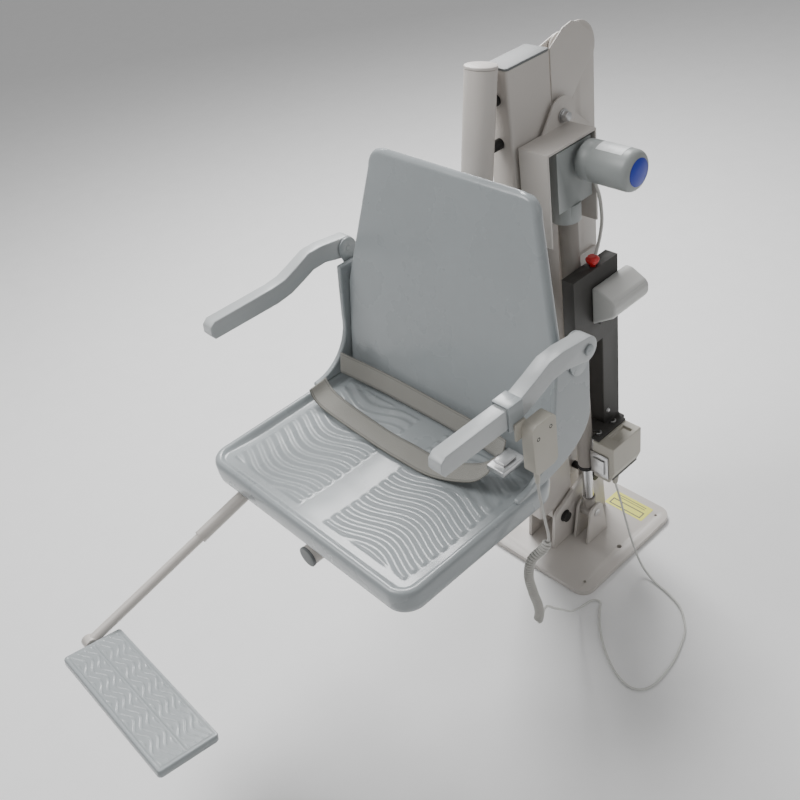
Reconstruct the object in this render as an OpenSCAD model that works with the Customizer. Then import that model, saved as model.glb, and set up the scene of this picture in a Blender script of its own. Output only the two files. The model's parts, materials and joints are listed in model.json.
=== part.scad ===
// Belted seat lift on a deck plate: a four-bar arm carries the seat mast forward and down.
// Millimetres. Origin: middle of the base plate's underside. +X is the sitter's left, +Y the rear, +Z up.

/* [Base] */
// Width of the base plate
base_w = 340; // [320:1:360]
// Depth of the base plate
base_d = 310; // [300:1:330]
// Thickness of the base plate
base_t = 12; // [10:1:14]
// Distance between the two side anchor holes
anchor_gap = 280; // [270:1:290]
// Diameter of the side anchor holes
anchor_d = 11; // [9:0.5:13]

/* [Arms] */
// Height of the front lower pivot
front_pivot_z = 85; // [80:1:90]
// How far the rear pivot stands behind the front one
pivot_step_y = 100; // [98:1:104]
// How far the rear pivot stands above the front one
pivot_step_z = 50; // [48:1:54]
// Height of the arms between their pivots
arm_rise = 920; // [900:1:930]
// Diameter of the pivot bolts
bolt_d = 16; // [14:1:18]

/* [Mast] */
// Width of the mast column
column_w = 50.8; // [50:0.2:52]
// Depth of the mast column
column_d = 101.6; // [100:0.2:103]
// Wall of the mast column
column_wall = 3.2; // [2.5:0.1:3.5]
// Height of the top of the column's cap
column_top = 1084; // [1076:1:1088]
// Diameter of the round seat post
post_d = 52; // [48:1:52]
// Backward lean of the seat post and of the back, in degrees
lean = 10.8; // [10:0.1:11.5]

/* [Seat] */
// Width of the seat
seat_w = 520; // [510:1:522]
// Height of the seat's rim
seat_top = 530; // [528:1:534]
// Thickness of the seat's edge
seat_t = 45; // [42:1:46]
// Length of the seat, front edge to back
seat_d = 350; // [340:1:352]
// Half the width of the back at its top
back_half_top = 188; // [180:1:190]
// Half the width of the back at the armrests
back_half_low = 250; // [240:1:251]
// Thickness of the back's shell
back_t = 20; // [16:1:22]

/* [Footrest] */
// Length of the footrest plate
foot_w = 306; // [300:1:312]
// Depth of the footrest plate
foot_d = 104; // [98:1:108]
// Downward slope of the footrest arm, in degrees
foot_slope = 12.6; // [12:0.1:13]

/* [Hidden] */
$fn = 48;
gap = 0.3;
open_pivot_gap = 0.3;
foot_reach = 380;
plate_tilt = 11;
stop_y = -17;

base_corner_r = 30;
pin_gap_x = 290;
pin_gap_y = 250;
pin_hole_d = 6.5;
seat_front = -663;
front_y = -54;
rear_y = front_y + pivot_step_y;
rear_pivot_z = front_pivot_z + pivot_step_z;
arm_lean = 11;
front_top = [front_y + arm_lean, front_pivot_z + arm_rise];
rear_top = [rear_y + arm_lean, rear_pivot_z + arm_rise];
cheek_t = 8;
cheek_in = 29;
link_half = 18;
arm_half = 20;
arm_wall = 4;
ear_in = column_w / 2 - column_wall;
column_front = -116;
column_back = column_front + column_d;
column_foot = 112;
post_y = column_front - post_d / 2 / cos(lean) - 1.2;
post_top = 1092;
post_foot = 428;
rod_x = 65;
rod_y = -4;
rod_z = 85;
hang_y = -3;
hang_z = 971;
tube_top_y = -36;
tube_top_z = 815;
tube_r = 17;
rod_tilt = atan2(rod_y - tube_top_y, tube_top_z - rod_z);
rod_len = (tube_top_z - rod_z) / cos(rod_tilt);
tube_len = 590;
motor_y = -18;
motor_z = 915;
motor_r = 34;
motor_end = 197;
arm_x = 277;
arm_pivot_y = -268;
arm_pivot_z = 762;
foot_x = -200;
foot_pivot_y = seat_front + 42;
foot_pivot_z = 459;
cord_r = 2.5;
coil_r = 8.5;
key_r = 9;
key_heights = [702, 670];

warm = "#d9d5d0";
grey = "#a9b1b5";
blue_grey = "#aab4b9";
dark = "#4d4b48";
steel = "#9a9b9c";
beige = "#c6c1b4";

// Outline in the YZ plane, made solid from x to x + t.
module side_plate(x, t) {
  translate([x, 0, 0]) rotate([90, 0, 90]) linear_extrude(t) children();
}

module pin_x(x0, x1, y, z, r) {
  translate([x0, y, z]) rotate([0, 90, 0]) cylinder(h = x1 - x0, r = r);
}

module round_box(w, d, r) {
  square([w - 2 * r, d], center = true);
  square([w, d - 2 * r], center = true);
  for (sx = [-1, 1], sy = [-1, 1]) translate([sx * (w / 2 - r), sy * (d / 2 - r)]) circle(r);
}

module bar2d(a, b, r) {
  v = b - a;
  turn = atan2(v[1], v[0]);
  polygon(concat(arc2(b, [r, r], turn - 90, turn + 90, 16), arc2(a, [r, r], turn + 90, turn + 270, 16)));
}

function arc2(c, r, a0, a1, n = 8) = [for (i = [0:n]) let (a = a0 + (a1 - a0) * i / n)
  [c[0] + r[0] * cos(a), c[1] + r[1] * sin(a)]];

// Closed tube swept along a list of points, each ring square to the path.
function unit(v) = v / norm(v);
function tangent(p, i) = unit(p[min(i + 1, len(p) - 1)] - p[max(i - 1, 0)]);
function side_of(t) = abs(t[2]) > 0.9 ? unit(cross(t, [1, 0, 0])) : unit(cross(t, [0, 0, 1]));
function carry(p, i = 0, u = undef) = let (t = tangent(p, i),
  w = is_undef(u) ? side_of(t) : unit(u - t * (u * t)))
  i == len(p) - 1 ? [w] : concat([w], carry(p, i + 1, w));
module sweep(p, r, n = 8) {
  sides = carry(p);
  pts = [for (i = [0:len(p) - 1]) let (t = tangent(p, i), u = sides[i], v = cross(t, u))
    for (k = [0:n - 1]) p[i] + r * (u * cos(360 * k / n) + v * sin(360 * k / n))];
  last = len(p) - 1;
  walls = [for (i = [0:last - 1], k = [0:n - 1])
    [i * n + k, (i + 1) * n + k, (i + 1) * n + (k + 1) % n, i * n + (k + 1) % n]];
  near = [[for (k = [0:n - 1]) k]];
  far = [[for (k = [n - 1:-1:0]) last * n + k]];
  polyhedron(points = pts, faces = concat(walls, near, far), convexity = 8);
}

// Smooth curve through hand-set points.
function spline4(a, b, c, d, t) = 0.5 * ((2 * b) + (c - a) * t + (2 * a - 5 * b + 4 * c - d) * t * t
  + (3 * b - a - 3 * c + d) * t * t * t);
function smooth(p, m) = concat([for (i = [0:len(p) - 2], j = [0:m - 1])
  spline4(p[max(i - 1, 0)], p[i], p[i + 1], p[min(i + 2, len(p) - 1)], j / m)], [p[len(p) - 1]]);

// Routes of the handset's cord, from the handset down to the floor and up to the dock.
lead_upper_route = [[304, -410, 606], [304, -408, 580], [303, -402, 540], [304, -399, 510], [306, -397, 486],
  [306, -397, 479]];
coil_route = [[306, -398, 472], [300, -406, 456], [288, -420, 436], [283, -426, 400], [284, -421, 355],
  [286, -414, 318], [285, -411, 292], [282, -412, 273]];
lead_lower_route = [[281, -411, 262], [274, -393, 262], [256, -362, 240], [236, -322, 182], [216, -276, 118],
  [199, -236, 62], [186, -206, 28], [178, -180, 6], [183, -150, 3], [198, -142, 3], [212, -162, 3], [240, -196, 3],
  [280, -232, 3], [330, -262, 3], [372, -268, 3], [396, -240, 3], [396, -180, 3], [384, -130, 3],
  [366, -88, 3], [330, -52, 3], [290, -36, 3], [250, -28, 4], [214, -20, 20], [184, -10, 56], [158, 0, 104],
  [138, 8, 146], [126, 12, 172], [122, 12, 184]];

module base_plate() {
  color(warm) difference() {
    linear_extrude(base_t) round_box(base_w, base_d, base_corner_r);
    for (s = [-1, 1]) translate([s * anchor_gap / 2, 0, -1]) cylinder(h = base_t + 2, d = anchor_d);
    for (sx = [-1, 1], sy = [-1, 1])
      translate([sx * pin_gap_x / 2, sy * pin_gap_y / 2, -1]) cylinder(h = base_t + 2, d = pin_hole_d);
  }
}

module cheek_outline() {
  foot = base_t;
  difference() {
    union() {
      polygon([[front_y - 40, foot], [rear_y + 40, foot], [rear_y + 32, rear_pivot_z],
        [rear_y - 12, rear_pivot_z + 29], [front_y - 12, front_pivot_z + 29], [front_y - 32, front_pivot_z]]);
      translate([front_y, front_pivot_z]) circle(32);
      translate([rear_y, rear_pivot_z]) circle(32);
    }
    translate([front_y, front_pivot_z]) circle(d = bolt_d + 0.1);
    translate([rear_y, rear_pivot_z]) circle(d = bolt_d + 0.1);
  }
}

module hub_cheeks() {
  color(warm) for (x = [cheek_in, -cheek_in - cheek_t]) side_plate(x, cheek_t) cheek_outline();
}

module through_bolt(y, z, nut_x) {
  outer = cheek_in + cheek_t;
  pin_x(-outer - 9, outer + 1, y, z, bolt_d / 2);
  translate([outer + gap, y, z]) rotate([0, 90, 0]) cylinder(h = 1.6, r = 14);
  translate([outer + gap + 1.6, y, z]) rotate([0, 90, 0]) cylinder(h = 7, r = 12);
  translate([nut_x, y, z]) rotate([0, 90, 0]) cylinder(h = 8, r = 13, $fn = 6);
}

module front_pivot_bolt() {
  color(dark) through_bolt(front_y, front_pivot_z, -cheek_in - cheek_t - 8.5);
}

module rear_pivot_bolt() {
  color(dark) through_bolt(rear_y, rear_pivot_z, -cheek_in - cheek_t - 8.5);
}

module bush(x0, x1, y, z) {
  difference() {
    pin_x(x0, x1, y, z, bolt_d / 2 + 4);
    pin_x(x0 - 1, x1 + 1, y, z, bolt_d / 2 + 0.05);
  }
}

module pivot_bushes() {
  color("#e8e4d8") for (s = [0, 1]) {
    mirror([s, 0, 0]) bush(link_half + gap, cheek_in - gap, front_y, front_pivot_z);
    mirror([s, 0, 0]) bush(arm_half + gap, cheek_in - gap, rear_y, rear_pivot_z);
  }
}

module rod_clevis() {
  color(warm) for (x = [45, 79]) side_plate(x, 6) difference() {
    union() {
      polygon([[rod_y - 34, base_t], [rod_y + 34, base_t], [rod_y + 22, rod_z], [rod_y - 22, rod_z]]);
      translate([rod_y, rod_z]) circle(22);
    }
    translate([rod_y, rod_z]) circle(d = 12.1);
  }
}

module clevis_bolt() {
  color(steel) {
    pin_x(45, 50.8, rod_y, rod_z, 6);
    pin_x(79.2, 85, rod_y, rod_z, 6);
    pin_x(85, 86.5, rod_y, rod_z, 9);
    pin_x(43.2, 45, rod_y, rod_z, 9);
  }
}

module floor_label() {
  color("#e6e44a") translate([82, 113, base_t]) linear_extrude(0.4) round_box(100, 46, 3);
}

module front_link() {
  color(warm) side_plate(-link_half, 2 * link_half) difference() {
    bar2d([front_y, front_pivot_z], front_top, 18);
    translate([front_y, front_pivot_z]) circle(d = bolt_d + 0.1);
    translate(front_top) circle(d = bolt_d + 0.1);
  }
}

module rear_arm() {
  axis = rear_top - [rear_y, rear_pivot_z];
  u = axis / norm(axis);
  n = [u[1], -u[0]];
  a = [rear_y, rear_pivot_z];
  b = rear_top;
  r = 25;
  turn = atan2(u[1], u[0]);
  back = 44;
  web = 40;
  flange_r = 47;
  color(warm) difference() {
    union() {
      side_plate(-arm_half, 2 * arm_half)
        polygon(concat(arc2(b, [r, r], turn, turn + 90, 12), arc2(a, [r, r], turn + 90, turn + 260, 20),
          [a + n * back + u * 30, b + n * back - u * 6, b + n * 30 + u * 20]));
      side_plate(arm_half - arm_wall, arm_wall) translate(b) circle(flange_r);
    }
    side_plate(-arm_half + arm_wall, 2 * (arm_half - arm_wall))
      polygon([a - n * web - u * 60, b - n * web + u * 60, b + n * web + u * 60, a + n * web - u * 60]);
    pin_x(-30, 30, a[0], a[1], bolt_d / 2 + 0.05);
    pin_x(-30, 30, b[0], b[1], bolt_d / 2 + open_pivot_gap);
  }
}

module hanger_plate() {
  color(warm) {
    side_plate(26.6, 5) difference() {
      bar2d([hang_y, hang_z], [66, 905], 20);
      translate([hang_y, hang_z]) circle(d = 12.1);
    }
    side_plate(arm_half, 6.6) translate([62, 900]) circle(18);
  }
}

module hanger_bolt() {
  color(steel) {
    pin_x(25.8, 48, hang_y, hang_z, 6);
    pin_x(37.2, 39.2, hang_y, hang_z, 11.5);
    pin_x(39.6, 41.6, hang_y, hang_z, 10);
    translate([41.6, hang_y, hang_z]) rotate([0, 90, 0]) cylinder(h = 7, r = 9, $fn = 6);
  }
}

module mast_column() {
  d = column_d;
  w = column_w;
  color(warm) translate([0, column_front + d / 2, column_foot]) difference() {
    linear_extrude(column_top - 4 - column_foot) difference() {
      round_box(w, d, 5);
      translate([0, column_wall]) square([w - 2 * column_wall, d], center = true);
    }
  }
}

module column_cap() {
  color("#8f9496") translate([0, column_front + column_d / 2, column_top - 4])
    linear_extrude(4) round_box(column_w, column_d, 6);
}

module mast_ears() {
  near = [[column_back + gap, 975], [column_back + gap, 1082], [20, 1104], [41, 1108], [60, 1101],
    [96, 1070], [97, 1048], [28, 978]];
  far = concat([[column_back + gap, 985], [column_back + gap, 1062]], arc2(rear_top, [22, 22], 100, -70, 14));
  color(warm) {
    side_plate(ear_in, column_wall) polygon(near);
    side_plate(-column_w / 2, column_wall) polygon(far);
  }
}

module upper_pivot_pins() {
  half = column_w / 2 - column_wall;
  color(steel) {
    pin_x(-half, half, front_top[0], front_top[1], bolt_d / 2);
    pin_x(-half, half, rear_top[0], rear_top[1], bolt_d / 2);
  }
}

module post_line(z0, z1, r) {
  y0 = post_y - (post_top - z0) * tan(lean);
  translate([0, y0, z0]) rotate([-lean, 0, 0]) cylinder(h = (z1 - z0) / cos(lean), r = r);
}

module seat_post() {
  color(warm) difference() {
    post_line(post_foot, post_top, post_d / 2);
    post_line(post_foot - 5, post_top + 5, post_d / 2 - 3);
  }
}

module post_cap() {
  color(warm) post_line(post_top + 0.2, post_top + 5, post_d / 2 + 0.5);
}

module post_bolts() {
  color("#1e1e1e") for (z = [1032, 960])
    translate([0, column_front - 0.2, z]) rotate([90, 0, 0])
      cylinder(h = (post_top - z - 9) * tan(lean) + 0.6, r = 9);
}

module post_strut() {
  y1 = post_y - (post_top - 620) * tan(lean);
  color(warm) difference() {
    translate([-20, y1, 590]) cube([40, column_front - gap - y1, 60]);
    post_line(500, 800, post_d / 2 + gap);
  }
}

module actuator_bracket() {
  color(warm) difference() {
    union() {
      translate([32.4, -110, 790]) cube([60, 122, 166]);
      side_plate(32.4, 4) {
        translate([hang_y, hang_z]) circle(32);
        polygon([[-66, 940], [12, 940], [12, 956], [hang_y + 24, hang_z + 21], [hang_y - 24, hang_z + 21]]);
      }
    }
    translate([36.4, -106, 780]) cube([80, 114, 172]);
    pin_x(20, 60, hang_y, hang_z, 6.05);
  }
}

module gear_housing() {
  color("#9aa0a0") difference() {
    union() {
      translate([39, -82, 840]) cube([48, 86, 106]);
      translate([rod_x, -39, 808]) cylinder(h = 33, r = 26);
      pin_x(87, 96, motor_y, motor_z, 22);
    }
    rod_axis() translate([0, 0, -10]) cylinder(h = 60, r = tube_r + gap);
    pin_x(84, 100, motor_y, motor_z, 6.2);
  }
}

module motor_case() {
  color("#b9bfc0") difference() {
    union() {
      pin_x(96.2, motor_end - 8, motor_y, motor_z, motor_r);
      translate([motor_end - 8, motor_y, motor_z]) rotate([0, 90, 0]) cylinder(h = 8, r1 = motor_r, r2 = 27);
    }
    pin_x(96, motor_end - 12, motor_y, motor_z, motor_r - 3);
  }
}

module motor_end_disc() {
  color("#1c3fae") pin_x(motor_end, motor_end + 0.8, motor_y, motor_z, 23);
}

module motor_rotor() {
  color("#b07a4a") {
    pin_x(104, 176, motor_y, motor_z, 22);
    pin_x(86, 182, motor_y, motor_z, 5);
  }
}

module rod_axis() {
  translate([rod_x, tube_top_y, tube_top_z]) rotate([180 + rod_tilt, 0, 0]) children();
}

module actuator_tube() {
  color("#a59d97") rod_axis() translate([0, 0, 2]) difference() {
    cylinder(h = tube_len, r = tube_r);
    translate([0, 0, 20]) cylinder(h = tube_len, r = 12.5);
  }
}

module tube_seal() {
  color("#2c2c2c") rod_axis() translate([0, 0, tube_len + 2.2]) difference() {
    cylinder(h = 8, r = tube_r + 1);
    translate([0, 0, -1]) cylinder(h = 12, r = 11.3);
  }
}

module actuator_rod() {
  color("#c9cccd") rod_axis() translate([0, 0, tube_len - 420]) cylinder(h = rod_len - tube_len + 420 - 18.3, r = 11);
}

module rod_end() {
  color("#8a8178") difference() {
    union() {
      pin_x(rod_x - 13, rod_x + 13, rod_y, rod_z, 18);
      rod_axis() translate([0, 0, rod_len - 40]) difference() {
        cylinder(h = 24, r = 14);
        translate([0, 0, -1]) cylinder(h = 23, r = 11.3);
      }
    }
    pin_x(rod_x - 30, rod_x + 30, rod_y, rod_z, 6.2);
  }
}

module motor_cable() {
  route = [[104, motor_y + 6, motor_z - motor_r - 0.3], [104, -8, 868], [106, 0, 840], [108, 2, 800], [108, -4, 770],
    [106, -14, 738]];
  color("#9fa3a4") sweep(smooth(route, 4), 3, 8);
}

module rail_plate() {
  color(warm) translate([arm_half, 22, 262]) cube([6, 66, 420]);
}

module mount_rail() {
  color("#55534f") {
    translate([26.2, 40, 300]) cube([48, 50, 275]);
    translate([26.2, 30, 575]) cube([60, 60, 50]);
    translate([26.2, 30, 262]) cube([61.6, 60, 38]);
  }
}

module rail_screws() {
  color(steel) for (z = [330, 545]) translate([74.4, 52, z]) rotate([0, 90, 0]) cylinder(h = 3, r = 5);
}

module control_housing() {
  color("#6c6c69") difference() {
    union() {
      translate([86.5, -84, 560]) cube([26, 122, 156]);
      translate([112.4, -30, 608]) cube([14, 86, 70]);
    }
    translate([90, -80, 564]) cube([19, 114, 148]);
    translate([101, stop_y, 700]) cylinder(h = 30, r = 7);
  }
}

module control_cover() {
  face = [[112.8, 606], [112.8, 684], [126.8, 684], [158, 668], [164, 660], [164, 640], [158, 634]];
  color("#d3d3cf") difference() {
    translate([0, 62, 0]) rotate([90, 0, 0]) linear_extrude(100) polygon(face);
    translate([100, -30.4, 607.6]) cube([26.8, 86.8, 70.8]);
  }
}

module circuit_board() {
  color("#2f6b43") translate([96, -70, 580]) cube([2, 100, 110]);
}

module stop_button() {
  color("#c3262b") {
    translate([101, stop_y, 705]) cylinder(h = 15.6, r = 5);
    translate([101, stop_y, 720.6]) cylinder(h = 4, r = 9);
    translate([101, stop_y, 724.6]) cylinder(h = 5, r1 = 11.5, r2 = 12.5);
    translate([101, stop_y, 729.6]) cylinder(h = 5, r1 = 12.5, r2 = 8);
  }
}

module dock_case() {
  color(beige) difference() {
    union() {
      translate([88, -16, 206]) cube([52, 92, 96]);
      translate([88, -2, 192]) cube([24, 30, 14]);
    }
    translate([91, -13, 209]) cube([46, 86, 90]);
    translate([110, 14, 290]) cube([22, 44, 20]);
  }
}

module dock_top() {
  color(dark) {
    translate([84, -14, 302.2]) cube([18, 88, 5]);
    translate([50, 6, 302.2]) cube([34, 30, 5]);
  }
}

module dock_latches() {
  color(steel) {
    translate([84, -19.2, 218]) cube([44, 3, 58]);
    translate([92, -23.2, 228]) cube([28, 4.2, 36]);
  }
  color(steel) for (y = [4, 50]) translate([88, y, 307.4]) difference() {
    cylinder(h = 5, r = 7);
    translate([0, 0, -1]) cylinder(h = 8, r = 4);
    translate([-10, -10, -1]) cube([10, 20, 8]);
  }
}

module battery_pack() {
  color("#37393c") translate([93, -10, 212]) cube([40, 80, 70]);
}

module cord_socket() {
  color("#b9b4a6") translate([122, 12, 185]) cylinder(h = 20.8, r1 = 5, r2 = 8);
}

module seat_pan() {
  color(blue_grey) translate([0, seat_front + seat_d / 2, seat_top - seat_t]) difference() {
    linear_extrude(seat_t) round_box(seat_w, seat_d, 38);
    translate([0, 14, seat_t - 9]) linear_extrude(20) round_box(seat_w - 56, seat_d - 52, 26);
    translate([0, 0, -1]) linear_extrude(26) round_box(seat_w - 16, seat_d - 16, 32);
  }
}

module wing_outline() {
  floor_z = seat_top + gap;
  outer = arc2([-363, 610], [135, 114], -68, 0, 10);
  inner = arc2([-411, 640], [95, 101], 0, -90, 8);
  polygon(concat(outer, [[-226, 742], [-303, 742], [-309, 696]], inner, [[-411, floor_z], [outer[0][0], floor_z]]));
}

module backrest() {
  y0 = seat_front + 358;
  hb = back_half_low;
  ht = back_half_top;
  r = 34;
  s_top = 442;
  color(blue_grey) {
    translate([0, y0, 530]) rotate([90 - lean, 0, 0]) translate([0, 0, -back_t]) linear_extrude(back_t) {
      polygon([[-hb, 1], [hb, 1], [hb, 180], [ht, s_top - r], [-ht, s_top - r], [-hb, 180]]);
      translate([0, s_top - r]) square([2 * (ht - r), 2 * r], center = true);
      for (s = [-1, 1]) translate([s * (ht - r), s_top - r]) circle(r);
    }
    for (x = [-260, 248]) side_plate(x, 12) wing_outline();
  }
}

module seat_tube() {
  color(warm) difference() {
    translate([0, seat_front + 10, 442]) rotate([-90, 0, 0]) cylinder(h = 400, r = 18);
    translate([0, seat_front + 9, 442]) rotate([-90, 0, 0]) cylinder(h = 402, r = 15.5);
    post_line(post_foot - 20, 600, post_d / 2 + gap);
  }
  color(warm) for (y = [seat_front + 70, seat_front + 260])
    difference() {
      translate([-150, y, 460.2]) cube([300, 40, 24.5]);
      post_line(post_foot - 20, 600, post_d / 2 + gap);
    }
}

module seat_tube_cap() {
  color("#b9bdbf") translate([0, seat_front + 4, 442]) rotate([-90, 0, 0]) cylinder(h = 5.8, r = 19);
}

module armrest_brackets() {
  color(grey) for (s = [0, 1]) mirror([s, 0, 0]) {
    side_plate(260.3, 4) difference() {
      bar2d([arm_pivot_y + 12, arm_pivot_z - 46], [arm_pivot_y, arm_pivot_z], 20);
      translate([arm_pivot_y, arm_pivot_z]) circle(d = 10.1);
    }
    pin_x(260.3, 294, arm_pivot_y, arm_pivot_z, 5);
    pin_x(291.3, 295, arm_pivot_y, arm_pivot_z, 9);
  }
}

module armrest() {
  color(blue_grey) side_plate(264.8, 26) difference() {
    union() {
      translate([arm_pivot_y, arm_pivot_z]) circle(21);
      polygon([[arm_pivot_y, arm_pivot_z - 21], [arm_pivot_y, arm_pivot_z + 21], [-322, 790], [-352, 789],
        [-384, 776], [-412, 766], [-440, 763], [-566, 763], [-576, 755], [-578, 740], [-572, 730],
        [-436, 729], [-404, 733], [-372, 744], [-346, 754], [-322, 755]]);
    }
    translate([arm_pivot_y, arm_pivot_z]) circle(d = 10.1);
  }
}

module armrest_left() {
  armrest();
}

module armrest_right() {
  mirror([1, 0, 0]) armrest();
}

// Flat strap swept as a ribbon: width along the given direction.
module strap(p, wide, t) {
  for (i = [0:len(p) - 2]) hull() {
    for (j = [i, i + 1]) translate(p[j]) {
      translate(-wide / 2) sphere(t / 2, $fn = 12);
      translate(wide / 2) sphere(t / 2, $fn = 12);
    }
  }
}

module belt_straps() {
  color("#a9a79f") {
    strap([[-236, -416, 550], [-200, -420, 527], [-60, -428, 523], [90, -424, 524], [165, -408, 546],
      [196, -396, 574]], [0, 44, 0], 3);
    strap([[-240, -352, 560], [-120, -336, 548], [60, -336, 548], [150, -350, 562], [194, -368, 582]],
      [0, 10, 42], 3);
  }
}

module belt_buckle() {
  color("#8d8f90") translate([198.5, -412, 576]) {
    cube([36, 52, 10]);
    translate([6, 12, 10.2]) cube([22, 28, 5]);
  }
}

module footrest_bracket() {
  color(warm) {
    for (x = [foot_x - 22, foot_x + 16]) side_plate(x, 6) difference() {
      union() {
        translate([foot_pivot_y, foot_pivot_z]) circle(15);
        translate([foot_pivot_y - 15, foot_pivot_z]) square([45, 25.7]);
      }
      translate([foot_pivot_y, foot_pivot_z]) circle(d = 10.1);
    }
    pin_x(foot_x - 24, foot_x + 24, foot_pivot_y, foot_pivot_z, 5);
  }
}

module foot_line() {
  translate([foot_x, foot_pivot_y, foot_pivot_z]) rotate([90 + foot_slope, 0, 0]) children();
}

module footrest_arm() {
  color("#dedad5") difference() {
    union() {
      pin_x(foot_x - 15.5, foot_x + 15.5, foot_pivot_y, foot_pivot_z, 14);
      foot_line() translate([0, 0, 12]) cylinder(h = 118, r = 12);
      foot_line() translate([0, 0, 130]) cylinder(h = foot_reach - 130, r = 9);
      foot_line() translate([-9, 0, foot_reach]) rotate([0, 90, 0]) cylinder(h = 18, r = 11);
    }
    pin_x(foot_x - 30, foot_x + 30, foot_pivot_y, foot_pivot_z, 5.05);
    foot_line() translate([-20, 0, foot_reach]) rotate([0, 90, 0]) cylinder(h = 40, r = 5.05);
  }
}

plate_y = foot_pivot_y - foot_reach * cos(foot_slope);
plate_z = foot_pivot_z - foot_reach * sin(foot_slope);

module footrest_plate() {
  color(blue_grey) {
    translate([foot_x + 9.6 + foot_w / 2 , plate_y, plate_z]) rotate([-plate_tilt, 0, 0])
      translate([0, 0, -8]) linear_extrude(15) round_box(foot_w, foot_d, 6);
    pin_x(foot_x - 12, foot_x + 9.6, plate_y, plate_z, 5);
  }
}

module handset_clip() {
  color(blue_grey) difference() {
    translate([262.6, -447, 724]) cube([32, 30, 44]);
    translate([264.4, -450, 725.6]) cube([26.8, 40, 40.6]);
  }
}

module handset_case() {
  color(beige) {
    difference() {
      translate([298, -404, 686]) rotate([90, 0, 90]) linear_extrude(22) round_box(50, 92, 11);
      for (z = key_heights) translate([297, -400, z]) rotate([0, 90, 0]) cylinder(h = 3, r = key_r + 2 * gap);
    }
    translate([304, -410, 607]) cylinder(h = 34, r1 = 3.6, r2 = 6);
    translate([294.8, -440, 705]) cube([3.4, 22, 30]);
  }
}

module handset_keys() {
  color("#5b6470") for (z = key_heights) translate([295.4, -400, z]) rotate([0, 90, 0]) cylinder(h = 2.4, r = key_r);
}

module handset_lead_upper() {
  color("#a3a39d") sweep(smooth(lead_upper_route, 2), cord_r, 8);
}

module handset_coil() {
  color("#9c9c96") sweep(smooth(coil_route, 3), coil_r, 12);
}

module handset_lead_lower() {
  color("#cfcfca") sweep(smooth(lead_lower_route, 2), cord_r, 8);
}

base_plate();
hub_cheeks();
front_pivot_bolt();
rear_pivot_bolt();
pivot_bushes();
rod_clevis();
clevis_bolt();
floor_label();
front_link();
rear_arm();
hanger_plate();
hanger_bolt();
mast_column();
column_cap();
mast_ears();
upper_pivot_pins();
seat_post();
post_cap();
post_bolts();
post_strut();
actuator_bracket();
gear_housing();
motor_case();
motor_end_disc();
motor_rotor();
actuator_tube();
tube_seal();
actuator_rod();
rod_end();
motor_cable();
rail_plate();
mount_rail();
rail_screws();
control_housing();
control_cover();
circuit_board();
stop_button();
dock_case();
dock_top();
dock_latches();
battery_pack();
cord_socket();
seat_pan();
backrest();
seat_tube();
seat_tube_cap();
armrest_brackets();
armrest_left();
armrest_right();
belt_straps();
belt_buckle();
footrest_bracket();
footrest_arm();
footrest_plate();
handset_clip();
handset_case();
handset_keys();
handset_lead_upper();
handset_coil();
handset_lead_lower();
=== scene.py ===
"""A belted seat lift on a deck plate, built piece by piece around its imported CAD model."""

import json
import math

import bmesh
import bpy
import numpy as np
from mathutils import Matrix, Vector


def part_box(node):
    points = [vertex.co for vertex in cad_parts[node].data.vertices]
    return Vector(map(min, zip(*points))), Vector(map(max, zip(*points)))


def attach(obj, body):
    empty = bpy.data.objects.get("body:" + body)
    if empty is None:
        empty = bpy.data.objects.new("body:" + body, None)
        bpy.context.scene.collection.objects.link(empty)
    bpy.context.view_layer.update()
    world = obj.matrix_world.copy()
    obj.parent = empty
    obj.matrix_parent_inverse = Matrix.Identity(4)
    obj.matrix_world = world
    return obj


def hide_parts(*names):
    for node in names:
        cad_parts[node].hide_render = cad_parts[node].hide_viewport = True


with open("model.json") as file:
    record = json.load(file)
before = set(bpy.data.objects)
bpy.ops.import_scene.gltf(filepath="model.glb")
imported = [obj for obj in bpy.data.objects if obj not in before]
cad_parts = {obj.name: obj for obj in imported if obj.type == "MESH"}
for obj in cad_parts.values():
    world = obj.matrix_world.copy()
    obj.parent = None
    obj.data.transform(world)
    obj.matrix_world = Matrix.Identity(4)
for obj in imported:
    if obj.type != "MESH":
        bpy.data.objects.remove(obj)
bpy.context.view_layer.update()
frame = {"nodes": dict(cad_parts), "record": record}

# ---- Camera -------------------------------------------------------------------------------------
# A standing person's view from the sitter's left and in front, a little above the mast's top.
MM = 0.001
eye = Vector((1.0284, -1.1687, 1.6029))
right = Vector((0.67465, 0.72376, -0.14526))
down = Vector((0.37302, -0.50405, -0.77901))
ahead = Vector((-0.6370, 0.4713, -0.6100))
camera = bpy.data.objects.new("camera", bpy.data.cameras.new("camera"))
camera.data.lens = 43.11
camera.data.sensor_width = 36.0
turn = Matrix((right, -down, -ahead)).transposed()
camera.matrix_world = Matrix.Translation(eye) @ turn.to_4x4()
bpy.context.collection.objects.link(camera)
bpy.context.scene.camera = camera


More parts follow.
